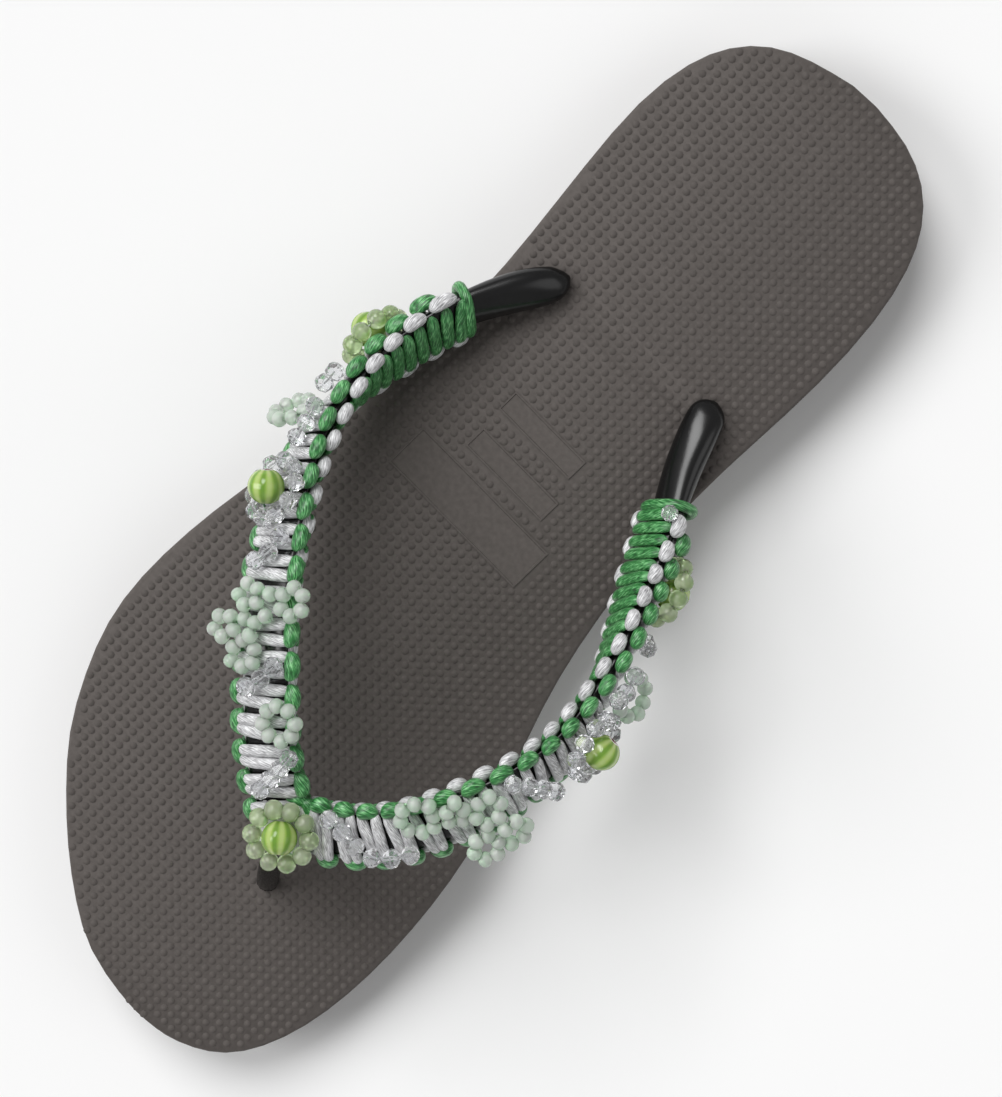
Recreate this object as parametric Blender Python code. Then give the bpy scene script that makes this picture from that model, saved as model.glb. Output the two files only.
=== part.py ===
"""Right flip-flop: a foam rubber sole, a moulded Y thong and a knotted cord cover set with beads.

X runs to the outer side of the foot, Y to the toe and Z up. The tables are in millimetres. Their x is measured
from the shoe's own centre line and their height from the footbed; ORIGIN_X then centres the whole shoe.
"""

import math

import bmesh
import bpy
import numpy as np
from mathutils import Vector

MM = 0.001
ORIGIN_X = 5.2  # x of the shoe's middle in the tables
GAP = 0.3  # between pieces that touch

# ------------------------------------------------------------------ sole
TOP_EDGE = 0.7  # small round along the footbed's rim
BOTTOM_EDGE = 1.6  # larger round along the ground
SECTIONS_PER_ROW = 2

# One row a section from heel to toe: where the inner and the outer wall stand.
SOLE_ROWS = (
    # inner_x, inner_y, outer_x, outer_y
    (3.4, -125.0, 10.6, -125.0),
    (-6.0, -123.3, 20.0, -123.0),
    (-14.0, -119.4, 28.2, -119.6),
    (-19.8, -113.2, 34.4, -113.8),
    (-23.6, -104.6, 38.5, -105.6),
    (-25.8, -92.0, 40.8, -93.0),
    (-26.0, -75.0, 40.6, -76.0),
    (-24.6, -57.0, 39.6, -58.0),
    (-23.4, -40.0, 39.4, -42.0),
    (-23.9, -24.0, 40.7, -24.0),
    (-25.3, -8.0, 43.0, -6.0),
    (-27.9, 8.0, 46.0, 10.0),
    (-31.6, 22.0, 49.3, 24.0),
    (-35.8, 36.0, 51.8, 38.0),
    (-39.2, 50.0, 52.9, 52.0),
    (-41.0, 64.0, 51.8, 64.5),
    (-41.5, 78.0, 48.1, 76.5),
    (-40.7, 91.0, 42.3, 88.4),
    (-38.5, 102.5, 34.6, 98.6),
    (-34.7, 112.2, 26.2, 107.6),
    (-29.6, 119.0, 16.9, 115.6),
    (-23.6, 122.8, 7.4, 121.4),
    (-17.8, 124.6, -2.6, 124.2),
    (-12.6, 125.0, -8.4, 125.0),
)
SOLE_HEIGHTS = (
    # y, top, bottom
    (-126.0, 16.0, 1.2),
    (-119.0, 16.0, 0.0),
    (-60.0, 15.8, 0.0),
    (0.0, 15.2, 0.0),
    (50.0, 14.4, 0.0),
    (78.0, 14.2, 0.0),
    (95.0, 14.4, 0.7),
    (110.0, 14.9, 2.1),
    (126.0, 15.8, 4.2),
)

# ------------------------------------------------------------------ thong
# One row a station from the V to the tip that goes into the footbed. roll turns the band from lying flat (0)
# to standing on edge (90) and beyond. half_width and half_thick are the rubber's own.
INNER_ARM = (
    # x, y, height, roll, half_width, half_thick
    (-4.0, 64.6, 26.0, 14, 5.0, 1.1),
    (-16.1, 55.2, 31.2, 20, 5.0, 1.1),
    (-25.8, 42.2, 34.8, 28, 5.0, 1.1),
    (-31.7, 28.6, 34.0, 39, 5.0, 1.1),
    (-35.1, 15.0, 29.0, 56, 5.0, 1.1),
    (-33.8, 2.0, 23.3, 79, 5.0, 1.2),
    (-30.1, -10.0, 17.4, 102, 4.9, 1.4),
    (-25.5, -21.5, 11.8, 115, 4.7, 1.8),
    (-20.9, -33.5, 8.0, 126, 4.5, 2.4),
    (-17.0, -42.5, 5.4, 140, 4.3, 3.1),
    (-14.4, -50.0, 3.9, 160, 4.1, 2.9),
    (-13.0, -55.2, 2.5, 172, 2.9, 1.7),
    (-12.6, -57.6, 1.4, 178, 1.1, 0.6),
)
OUTER_ARM = (
    # x, y, height, roll, half_width, half_thick
    (-4.0, 64.6, 26.0, 14, 5.0, 1.1),
    (7.6, 55.4, 30.5, 20, 5.0, 1.1),
    (18.9, 43.0, 32.5, 23, 5.0, 1.1),
    (29.5, 30.0, 30.3, 32, 5.0, 1.1),
    (37.8, 16.7, 25.0, 45, 5.0, 1.1),
    (43.9, 3.0, 18.2, 67, 5.0, 1.2),
    (45.3, -10.0, 12.6, 96, 4.9, 1.4),
    (43.5, -23.6, 8.8, 118, 4.7, 1.8),
    (39.8, -36.4, 7.3, 130, 4.5, 2.4),
    (36.0, -43.8, 5.4, 142, 4.3, 3.1),
    (31.7, -50.2, 3.9, 160, 4.1, 2.9),
    (28.9, -54.6, 2.5, 172, 2.9, 1.7),
    (27.8, -56.6, 1.4, 178, 1.1, 0.6),
)
V_OVERLAP = 2.8  # how far each arm runs on past the V, so that their union has a full corner
ARM_STEP = 7.6
ARM_SIDES = 8

POST_ROWS = (
    # x, y, height, half_across, half_along
    (-5.4, 66.9, 26.0, 2.3, 2.7),
    (-6.5, 71.8, 20.0, 2.3, 2.8),
    (-8.0, 76.3, 14.0, 2.3, 2.7),
    (-9.6, 80.3, 7.4, 2.4, 2.6),
    (-10.9, 83.5, 0.8, 2.4, 2.4),
    (-11.0, 83.8, -4.0, 2.4, 2.4),
    (-11.0, 83.8, -11.4, 2.4, 2.4),
)
HOLES = (
    # x, y of the three holes through the sole
    (-11.0, 83.8),
    (-13.4, -53.4),
    (29.6, -53.4),
)
STEM_RADIUS = 2.4
HOLE_RADIUS = 3.2
PLUG_RADIUS = 8.0
PLUG_THICK = 3.0
PLUG_ABOVE_GROUND = 0.5

# ------------------------------------------------------------------ knotted cover
# Each knot shows two bars across one face and a bump on either edge. The back repeats it half a knot later.
WRAP_HALF_THICK = 2.9
WRAP_HALF_WIDTH = 8.5
WRAP_END_HALF_WIDTH = 7.4
WRAP_NARROWS_FROM = 95.0
WRAP_V_OVERLAP = 5.2
KNOTS = {
    # first knot's middle, knot length, where the cover ends
    "inner": (3.55, 5.75, 119.2),
    "outer": (3.80, 6.37, 125.6),
}
# How far the faces and the edges draw in over the four quarters of a knot.
FACE_DRAW = (0.35, 0.0, 1.0, 0.0)
EDGE_DRAW = (0.0, 0.4, 1.3, 0.4)

# ------------------------------------------------------------------ beads
SEED = 2.8
PETAL = 3.8
CRYSTAL = 3.9
ROUND = 7.4
BEAD_SIDES = 5

# Loops of touching beads. s runs along the arm, w across it and n out from its middle; per_turn beads would
# close the loop. lean raises its rear end and tip its lower side, in degrees.
LOOPS = {
    "mint_loop_front_outer": (
        # arm, s, w, n, beads, per_turn, start, lean, tip, bead
        ("outer", 25.0, -5.2, 4.4, 8, 8, 7, 0, 0, SEED),
    ),
    "mint_cluster_outer": (
        ("outer", 37.8, 3.0, 4.5, 6, 6, 0, 0, 0, SEED),
        ("outer", 42.7, 6.8, 5.6, 5, 5, -36, 0, 0, SEED),
        ("outer", 48.6, 1.1, 5.6, 5, 5, 17, 0, 0, SEED),
        ("outer", 47.9, -9.0, 4.5, 6, 6, 0, 0, 0, SEED),
        ("outer", 47.0, -4.0, 5.2, 5, 5, -60, 0, 0, SEED),
        ("outer", 42.5, 2.4, 5.0, 5, 5, 0, 0, 0, SEED),
    ),
    "mint_loop_rear_outer": (("outer", 86.0, 1.5, 7.0, 9, 9, 0, -28, 20, SEED),),
    "mint_cluster_inner": (
        ("inner", 32.4, -6.4, 4.7, 8, 8, 10, 0, 0, SEED),
        ("inner", 39.1, -5.2, 4.9, 5, 5, 0, 0, 0, SEED),
        ("inner", 44.3, -3.2, 5.6, 6, 6, 0, 0, 25, SEED),
        ("inner", 41.1, 4.8, 7.0, 6, 6, 0, 0, 10, SEED),
        ("inner", 46.6, 3.3, 7.7, 6, 6, 0, 0, 0, SEED),
    ),
    "mint_loop_rear_inner": (("inner", 80.2, 1.0, 6.6, 7, 9, -40, 0, 40, SEED),),
    "petals_rear_outer": (("outer", 107.3, 0.0, 5.8, 10, 10, 0, 0, 0, PETAL),),
    "petals_rear_inner": (("inner", 103.8, 0.2, 6.2, 10, 10, 0, 0, 0, PETAL),),
    "crystal_ring_outer": (("outer", 69.8, -0.6, 5.3, 10, 10, -7, 0, 0, CRYSTAL),),
    "crystal_ring_inner": (("inner", 67.6, 0.0, 5.3, 10, 10, 0, 0, 0, CRYSTAL),),
}
# Strings of crystals: arm, then (s, w, n) of each.
STRINGS = {
    "crystals_front_outer": (
        "outer",
        ((10.8, 0.9, 4.9), (13.2, -2.0, 4.9), (15.7, -4.7, 4.9), (18.2, -7.2, 5.0)),
    ),
    "crystals_middle_outer": ("outer", ((31.4, 2.0, 4.9), (33.3, -1.5, 4.9), (35.8, -4.5, 4.9))),
    "crystals_lower_outer": ("outer", ((55.4, 1.4, 4.9), (57.2, -2.0, 4.9), (60.2, -4.4, 4.9))),
    "crystals_upper_outer": ("outer", ((80.8, -2.8, 4.9), (83.6, -5.4, 5.0), (87.2, -6.4, 5.0))),
    "crystals_rear_outer": ("outer", ((93.2, -2.4, 5.2), (96.6, -1.0, 5.2))),
    "crystals_front_inner": (
        "inner",
        (
            (12.8, -6.2, 4.9),
            (15.6, -3.6, 4.9),
            (17.8, -0.5, 4.9),
            (20.4, 2.3, 4.9),
            (24.1, 2.7, 4.9),
            (27.8, 2.4, 4.9),
        ),
    ),
    "crystals_middle_inner": (
        "inner",
        ((50.2, -6.6, 4.9), (52.8, -3.6, 4.9), (55.0, -0.4, 4.9), (57.2, 2.9, 4.9)),
    ),
    "crystals_upper_inner": ("inner", ((76.8, -5.4, 5.0), (79.4, -2.9, 5.2), (82.8, -5.0, 5.1))),
    "crystals_rear_inner": ("inner", ((90.0, -2.0, 5.3), (92.0, 1.4, 5.3))),
}
# The large round beads: arm, s, w, n. The toe bead sits on the V.
ROUND_BEADS = {
    "bead_middle_outer": ("outer", 69.6, -0.4, 7.2),
    "bead_middle_inner": ("inner", 67.5, 0.2, 7.2),
    "bead_rear_outer": ("outer", 107.3, 0.0, 8.0),
    "bead_rear_inner": ("inner", 103.8, 0.2, 7.7),
}
TOE_FLOWER = (-4.7, 65.7, 33.2)
TOE_FLOWER_TILT = 8.0
TOE_BEAD_RISE = 0.8

MATERIALS = {
    # colour (linear), roughness
    "sole_foam": ((0.085, 0.076, 0.070), 0.85),
    "strap_rubber": ((0.010, 0.010, 0.010), 0.35),
    "satin_cord": ((0.030, 0.260, 0.055), 0.40),
    "mint_glass": ((0.520, 0.690, 0.560), 0.30),
    "petal_glass": ((0.380, 0.560, 0.200), 0.25),
    "striped_glass": ((0.330, 0.520, 0.050), 0.15),
    "clear_crystal": ((0.800, 0.800, 0.820), 0.05),
}


def clear_scene():
    for obj in list(bpy.data.objects):
        bpy.data.objects.remove(obj, do_unlink=True)


def new_collection(name):
    collection = bpy.data.collections.new(name)
    bpy.context.scene.collection.children.link(collection)
    return collection


def material(name):
    found = bpy.data.materials.get(name)
    if found:
        return found
    colour, roughness = MATERIALS[name]
    made = bpy.data.materials.new(name)
    made.use_nodes = True
    shader = made.node_tree.nodes["Principled BSDF"]
    shader.inputs["Base Color"].default_value = (*colour, 1.0)
    shader.inputs["Roughness"].default_value = roughness
    made.diffuse_color = (*colour, 1.0)
    return made


def place(point):
    """A point of the tables, (x, y, height above the footbed), as metres in the shoe's frame."""
    x, y, height = point
    return Vector(((x - ORIGIN_X) * MM, y * MM, (height + footbed(y)) * MM))


def footbed(y):
    return float(TOP(y))


def spline(knots, values):
    """A natural cubic spline through values at knots, as a function."""
    knots = np.asarray(knots, float)
    values = np.asarray(values, float)
    count = len(knots)
    step = np.diff(knots)
    system = np.eye(count)
    right = np.zeros((count,) + values.shape[1:])
    for i in range(1, count - 1):
        system[i, i - 1 : i + 2] = (step[i - 1], 2 * (step[i - 1] + step[i]), step[i])
        right[i] = 6 * ((values[i + 1] - values[i]) / step[i] - (values[i] - values[i - 1]) / step[i - 1])
    bend = np.linalg.solve(system, right)

    def at(where):
        i = int(np.clip(np.searchsorted(knots, where) - 1, 0, count - 2))
        after = (where - knots[i]) / step[i]
        before = 1 - after
        curve = (before**3 - before) * bend[i] + (after**3 - after) * bend[i + 1]
        return before * values[i] + after * values[i + 1] + curve * step[i] ** 2 / 6

    return at


def linear(table, column):
    """A function of the table's first column that runs straight from row to row."""
    rows = np.asarray(table, float)
    return lambda where: np.interp(where, rows[:, 0], rows[:, column])


TOP = linear(SOLE_HEIGHTS, 1)
BOTTOM = linear(SOLE_HEIGHTS, 2)


def loft(name, rings, collection, material_name, looped=False):
    """One closed solid through rings of points: capped at both ends, or looped back to its first ring."""
    mesh = bpy.data.meshes.new(name)
    shape = bmesh.new()
    rows = [[shape.verts.new(point) for point in ring] for ring in rings]
    sides = len(rows[0])
    pairs = list(zip(rows, rows[1:]))
    if looped:
        pairs.append((rows[-1], rows[0]))
    for near, far in pairs:
        for i in range(sides):
            j = (i + 1) % sides
            shape.faces.new((near[i], near[j], far[j]))
            shape.faces.new((near[i], far[j], far[i]))
    if not looped:
        shape.faces.new(rows[0][::-1])
        shape.faces.new(rows[-1])
    bmesh.ops.recalc_face_normals(shape, faces=shape.faces)
    shape.to_mesh(mesh)
    shape.free()
    mesh.shade_smooth()
    mesh.set_sharp_from_angle(angle=math.radians(40))
    mesh.materials.append(material(material_name))
    obj = bpy.data.objects.new(name, mesh)
    collection.objects.link(obj)
    return obj


def cylinder(name, x, y, bottom, top, radius, collection, sides=20):
    """An upright cylinder between two heights above the ground."""
    middle = ((x - ORIGIN_X) * MM, y * MM, (bottom + top) / 2 * MM)
    bpy.ops.mesh.primitive_cylinder_add(
        vertices=sides, radius=radius * MM, depth=(top - bottom) * MM, location=middle
    )
    obj = bpy.context.active_object
    obj.name = name
    for old in obj.users_collection:
        old.objects.unlink(obj)
    collection.objects.link(obj)
    return obj


def combine(target, other, operation):
    """Cuts other out of target or joins it on, with other kept as a hidden helper."""
    modifier = target.modifiers.new(operation.title() + " " + other.name, "BOOLEAN")
    modifier.operation = operation
    modifier.object = other
    modifier.solver = "EXACT"
    other.hide_render = True
    other.display_type = "WIRE"


# ------------------------------------------------------------------ sole


def sole_ring(row):
    """The eight corners of one section, round its inner wall, footbed, outer wall and bottom."""
    inner = np.array(row[:2])
    outer = np.array(row[2:])
    length = np.linalg.norm(outer - inner)
    across = (outer - inner) / length
    top_edge = min(TOP_EDGE, 0.3 * length)
    bottom_edge = min(BOTTOM_EDGE, 0.3 * length)
    corners = (
        # along the section, up or down from which face
        (inner, bottom_edge, BOTTOM, 0),
        (inner, 0, BOTTOM, bottom_edge),
        (inner, 0, TOP, -top_edge),
        (inner, top_edge, TOP, 0),
        (outer, -top_edge, TOP, 0),
        (outer, 0, TOP, -top_edge),
        (outer, 0, BOTTOM, bottom_edge),
        (outer, -bottom_edge, BOTTOM, 0),
    )
    ring = []
    for corner, along, face, up in corners:
        x, y = corner + along * across
        ring.append(Vector(((x - ORIGIN_X) * MM, y * MM, (face(corner[1]) + up) * MM)))
    return ring


def make_sole(parts, cutters):
    rows = spline(range(len(SOLE_ROWS)), SOLE_ROWS)
    last = len(SOLE_ROWS) - 1
    places = np.linspace(0, last, last * SECTIONS_PER_ROW + 1)
    sole = loft("sole", [sole_ring(rows(i)) for i in places], parts, "sole_foam")
    recess_top = PLUG_ABOVE_GROUND + PLUG_THICK + GAP
    for number, (x, y) in enumerate(HOLES):
        hole = cylinder(f"hole_{number}", x, y, -2.0, footbed(y) + 2.0, HOLE_RADIUS, cutters, 12)
        recess = cylinder(f"recess_{number}", x, y, -2.0, recess_top, PLUG_RADIUS + GAP, cutters, 20)
        combine(sole, hole, "DIFFERENCE")
        combine(sole, recess, "DIFFERENCE")
    return sole


# ------------------------------------------------------------------ arms


class Arm:
    """The middle line of one arm of the thong, by length along it, with the band's own directions."""

    def __init__(self, rows, side):
        rows = np.asarray(rows, float)
        points = rows[:, :3].copy()
        points[:, 2] += [footbed(y) for y in points[:, 1]]
        gaps = np.linalg.norm(np.diff(points, axis=0), axis=1)
        self.knots = np.concatenate([[0], np.cumsum(gaps)])
        self.line = spline(self.knots, points)
        self.form = spline(self.knots, rows[:, 3:])
        self.length = self.knots[-1]
        self.side = side

    def frame(self, s):
        """Middle point, and the directions along, across (outwards) and out of the band's face."""
        inside = min(max(s, 0.0), self.length)
        middle = self.line(inside)
        along = self.line(min(inside + 0.5, self.length)) - self.line(max(inside - 0.5, 0.0))
        along = along / np.linalg.norm(along)
        middle = middle + (s - inside) * along
        level = self.side * np.cross((0, 0, 1), along)
        level /= np.linalg.norm(level)
        up = np.cross(along, level)
        up *= np.sign(up[2])
        roll = math.radians(self.form(inside)[0])
        across = math.cos(roll) * level - math.sin(roll) * up
        out = math.cos(roll) * up + math.sin(roll) * level
        return middle, along, across, out

    def point(self, s, w, n):
        middle, _, across, out = self.frame(s)
        return to_metres(middle + w * across + n * out)


def to_metres(point):
    """A point with its height taken from the ground, in metres."""
    return Vector(((point[0] - ORIGIN_X) * MM, point[1] * MM, point[2] * MM))


ARMS = {"inner": Arm(INNER_ARM, -1), "outer": Arm(OUTER_ARM, 1)}


def rubber_ring(arm, s, grow, shrink=1.0):
    """A section of the rubber band: a flattened oval, grown all round by a clearance."""
    inside = min(max(s, 0.0), arm.length)
    _, half_width, half_thick = arm.form(inside)
    ring = []
    for i in range(ARM_SIDES):
        turn = 2 * math.pi * (i + 0.5) / ARM_SIDES
        w = math.copysign(abs(math.cos(turn)) ** 0.7, math.cos(turn))
        n = math.copysign(abs(math.sin(turn)) ** 0.7, math.sin(turn))
        w *= (half_width + grow) * shrink
        n *= (half_thick + grow) * shrink
        ring.append(arm.point(s, w, n))
    return ring


def rubber_arm(name, arm, grow, end, collection):
    """One arm of the thong from just past the V to a given length, with a rounded front end."""
    rings = [rubber_ring(arm, -V_OVERLAP - 2 * grow - 1.2, grow, 0.6)]
    rings += [rubber_ring(arm, s, grow) for s in np.arange(-V_OVERLAP, end - 1.0, ARM_STEP)]
    rings.append(rubber_ring(arm, end, grow))
    return loft(name, rings, collection, "strap_rubber")


def post(name, grow, collection):
    """The toe post: an upright oval bar that curves forward into its hole."""
    rows = np.asarray(POST_ROWS, float)
    rows[0, 2] += grow
    rings = []
    for x, y, height, across, along in rows:
        ring = []
        for i in range(10):
            turn = 2 * math.pi * i / 10
            dx = (across + grow) * math.cos(turn)
            dy = (along + grow) * math.sin(turn)
            ring.append(place((x + dx, y, height)) + Vector((0, dy * MM, 0)))
        rings.append(ring)
    return loft(name, rings, collection, "strap_rubber")


def make_strap(parts, helpers):
    strap = rubber_arm("strap", ARMS["inner"], 0, ARMS["inner"].length, parts)
    joined = [rubber_arm("strap_outer_arm", ARMS["outer"], 0, ARMS["outer"].length, helpers)]
    joined.append(post("strap_post", 0, helpers))
    for number, (x, y) in enumerate(HOLES):
        plug_top = PLUG_ABOVE_GROUND + PLUG_THICK
        plug = cylinder(f"plug_{number}", x, y, PLUG_ABOVE_GROUND, plug_top, PLUG_RADIUS, helpers, 20)
        joined.append(plug)
        if number:
            stem_top = footbed(y) + 2.4
            joined.append(
                cylinder(f"stem_{number}", x, y, plug_top - 1.0, stem_top, STEM_RADIUS, helpers, 12)
            )
    for piece in joined:
        combine(strap, piece, "UNION")
    return strap


# ------------------------------------------------------------------ knotted cover


def wrap_ring(arm, s, quarter, shrink=1.0):
    """A section of the cover: bars rise across both faces, and bumps stand out along both edges."""
    narrow = np.interp(s, (WRAP_NARROWS_FROM, 125.0), (WRAP_HALF_WIDTH, WRAP_END_HALF_WIDTH))
    thick = WRAP_HALF_THICK + max(0.0, arm.form(max(s, 0.0))[2] - 1.1)
    front = thick - FACE_DRAW[quarter % 4]
    back = thick - FACE_DRAW[(quarter + 2) % 4]
    front_edge = narrow - EDGE_DRAW[quarter % 4]
    back_edge = narrow - EDGE_DRAW[(quarter + 2) % 4]
    outline = (
        # across, out of the face
        (front_edge, 0.45 * thick),
        (0.70 * narrow, front),
        (-0.70 * narrow, front),
        (-front_edge, 0.45 * thick),
        (-back_edge, -0.45 * thick),
        (-0.70 * narrow, -back),
        (0.70 * narrow, -back),
        (back_edge, -0.45 * thick),
    )
    return [arm.point(s, w * shrink, n * shrink) for w, n in outline]


def wrap_arm(label, name, collection):
    """One arm of the cover, a section for each quarter of a knot."""
    arm = ARMS[name]
    middle, length, end = KNOTS[name]
    first = math.ceil((-WRAP_V_OVERLAP - middle) / length * 4)
    last = math.floor((end - middle) / length * 4)
    places = [(middle + quarter * length / 4, quarter) for quarter in range(first, last + 1)]
    rings = [wrap_ring(arm, places[0][0] - 1.0, first, 0.72)]
    rings += [wrap_ring(arm, s, quarter) for s, quarter in places]
    if end - places[-1][0] > 0.4:
        rings.append(wrap_ring(arm, end, last, 0.96))
    return loft(label, rings, collection, "satin_cord")


def make_wrap(parts, helpers):
    wrap = wrap_arm("wrap", "inner", parts)
    combine(wrap, wrap_arm("wrap_outer_arm", "outer", helpers), "UNION")
    for name in ("inner", "outer"):
        arm = ARMS[name]
        combine(wrap, rubber_arm(f"wrap_room_{name}", arm, GAP, arm.length - 4.0, helpers), "DIFFERENCE")
    combine(wrap, post("wrap_room_post", GAP, helpers), "DIFFERENCE")
    return wrap


# ------------------------------------------------------------------ beads


def bead_tube(name, stops, outs, bead, collection, material_name, looped):
    """Beads on a thread as one tube: stops are (middle, share of the bead's radius) in order along it."""
    count = len(stops)
    rings = []
    for i, (middle, swell) in enumerate(stops):
        before = stops[(i - 1) % count if looped else max(i - 1, 0)][0]
        after = stops[(i + 1) % count if looped else min(i + 1, count - 1)][0]
        side = np.cross(after - before, outs[i])
        side /= np.linalg.norm(side)
        up = np.cross(side, after - before)
        up /= np.linalg.norm(up)
        ring = []
        for k in range(BEAD_SIDES):
            angle = 2 * math.pi * (k + 0.25) / BEAD_SIDES
            offset = math.cos(angle) * side + math.sin(angle) * up
            ring.append(to_metres(middle + bead / 2 * swell * offset))
        rings.append(ring)
    return loft(name, rings, collection, material_name, looped)


def bead_loop(name, centre, first, second, beads, per_turn, start, bead, collection, material_name):
    """A loop of touching beads in the plane of two directions, left open when it is short of a full turn."""
    radius = bead / (2 * math.sin(math.pi / per_turn))
    faceted = material_name == "clear_crystal"
    # Where each ring of points lies in a bead's share of the turn, and its radius.
    profile = ((-0.5, 0.22), (0.0, 1.0)) if faceted else ((-0.5, 0.36), (-0.2, 0.94), (0.2, 0.94))
    places = [(number + share, swell) for number in range(beads) for share, swell in profile]
    if beads < per_turn:
        places.append((beads - 0.5, 0.36))
    stops = []
    for place_along, swell in places:
        turn = math.radians(start) + 2 * math.pi * place_along / per_turn
        stops.append((centre + radius * (math.cos(turn) * first + math.sin(turn) * second), swell))
    outs = [np.cross(first, second)] * len(stops)
    looped = beads == per_turn
    return bead_tube(name, stops, outs, bead, collection, material_name, looped)


def glass_of(name):
    if name.startswith("mint"):
        return "mint_glass"
    return "petal_glass" if name.startswith("petals") else "clear_crystal"


def make_loops(parts, helpers):
    for name, rows in LOOPS.items():
        joined = []
        for number, (arm, s, w, n, beads, per_turn, start, lean, tip, bead) in enumerate(rows):
            middle, along, across, out = ARMS[arm].frame(s)
            centre = middle + w * across + n * out
            lean, tip = math.radians(lean), math.radians(tip)
            first = math.cos(lean) * along + math.sin(lean) * out
            second = math.cos(tip) * across + math.sin(tip) * out
            second -= second.dot(first) * first
            second /= np.linalg.norm(second)
            into = parts if number == 0 else helpers
            label = name if number == 0 else f"{name}_{number}"
            form = (beads, per_turn, start, bead, into, glass_of(name))
            joined.append(bead_loop(label, centre, first, second, *form))
        for other in joined[1:]:
            combine(joined[0], other, "UNION")


def make_strings(parts):
    """Each string is full at a crystal and drawn in to its thread between two of them."""
    for name, (arm_name, places) in STRINGS.items():
        arm = ARMS[arm_name]
        points = []
        outs = []
        for s, w, n in places:
            middle, _, across, out = arm.frame(s)
            points.append(middle + w * across + n * out)
            outs += [out, out]
        stops = [(points[0] + 0.5 * (points[0] - points[1]), 0.22)]
        for near, far in zip(points, points[1:]):
            stops += [(near, 1.0), ((near + far) / 2, 0.22)]
        stops += [(points[-1], 1.0), (points[-1] + 0.5 * (points[-1] - points[-2]), 0.22)]
        outs = [outs[0]] + outs
        bead_tube(name, stops, outs, CRYSTAL, parts, "clear_crystal", False)


def round_bead(name, centre, parts):
    bpy.ops.mesh.primitive_uv_sphere_add(
        segments=10, ring_count=6, radius=ROUND / 2 * MM, location=to_metres(centre)
    )
    bead = bpy.context.active_object
    bead.name = name
    bead.data.materials.append(material("striped_glass"))
    bead.data.shade_smooth()
    for old in bead.users_collection:
        old.objects.unlink(bead)
    parts.objects.link(bead)


def make_beads(parts, helpers):
    make_loops(parts, helpers)
    make_strings(parts)
    for name, (arm, s, w, n) in ROUND_BEADS.items():
        middle, _, across, out = ARMS[arm].frame(s)
        round_bead(name, middle + w * across + n * out, parts)
    x, y, height = TOE_FLOWER
    centre = np.array((x, y, height + footbed(y)))
    tilt = math.radians(TOE_FLOWER_TILT)
    forward = np.array((0.0, math.cos(tilt), -math.sin(tilt)))
    across = np.array((1.0, 0.0, 0.0))
    form = (10, 10, 0, PETAL, parts, "petal_glass")
    bead_loop("petals_toe", centre, across, forward, *form)
    round_bead("bead_toe", centre + TOE_BEAD_RISE * np.cross(across, forward), parts)


def build():
    clear_scene()
    parts = new_collection("flip_flop")
    helpers = new_collection("helpers")
    make_sole(parts, helpers)
    make_strap(parts, helpers)
    make_wrap(parts, helpers)
    make_beads(parts, helpers)


build()
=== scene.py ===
import math

import bpy
import numpy as np
from mathutils import Matrix, Vector
from mathutils.bvhtree import BVHTree


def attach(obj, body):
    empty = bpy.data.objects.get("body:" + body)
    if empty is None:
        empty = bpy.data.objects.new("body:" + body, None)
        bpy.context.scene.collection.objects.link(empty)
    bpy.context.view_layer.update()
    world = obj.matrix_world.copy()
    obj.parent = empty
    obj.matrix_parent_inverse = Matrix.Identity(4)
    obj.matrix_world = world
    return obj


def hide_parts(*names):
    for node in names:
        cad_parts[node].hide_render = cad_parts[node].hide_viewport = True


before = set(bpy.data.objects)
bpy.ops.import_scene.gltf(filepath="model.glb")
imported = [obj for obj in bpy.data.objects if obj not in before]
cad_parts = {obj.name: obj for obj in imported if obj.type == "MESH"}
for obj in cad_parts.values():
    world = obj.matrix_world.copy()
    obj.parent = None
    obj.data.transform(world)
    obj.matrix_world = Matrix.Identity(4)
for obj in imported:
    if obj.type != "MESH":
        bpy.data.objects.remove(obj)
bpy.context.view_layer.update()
bpy.ops.object.select_all(action="DESELECT")
scene = bpy.context.scene

# ---------------------------------------------------------------- view, floor and light
# The shoe stands alone on a plain white floor, seen from almost straight above with its toe to the lower left.
# Four broad soft lamps light it, the strongest behind its outer side, in a dim even surround.
MM = 0.001
VIEW_RIGHT = Vector((-0.74385, -0.66601, -0.05583))
VIEW_DOWN = Vector((-0.66672, 0.73362, 0.13147))
VIEW_FORWARD = Vector((-0.04661, 0.13502, -0.98975))
VIEW_FROM = (0.0224, -0.0845, 0.6016)
FLOOR_SIZE = 3.0
SURROUND = 0.27
LAMPS = (
    # name, where it shines from, strength, how wide it looks in degrees
    ("key_lamp", (0.60, -0.30, 0.74), 2.15, 36),
    ("side_lamp", (0.62, 0.45, 0.64), 1.1, 30),
    ("arch_lamp", (-0.60, -0.50, 0.62), 0.25, 36),
    ("toe_lamp", (-0.50, 0.60, 0.62), 0.2, 45),
)

camera_data = bpy.data.cameras.new("view")
camera_data.sensor_fit = "VERTICAL"
camera_data.sensor_height = 36.0
camera_data.lens = 91.7
camera_data.clip_start = 0.01
camera = bpy.data.objects.new("view", camera_data)
scene.collection.objects.link(camera)
turn = Matrix((VIEW_RIGHT, -VIEW_DOWN, -VIEW_FORWARD)).transposed()
camera.matrix_world = Matrix.Translation(VIEW_FROM) @ turn.to_4x4()
scene.camera = camera
scene.view_settings.view_transform = "Standard"

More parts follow.
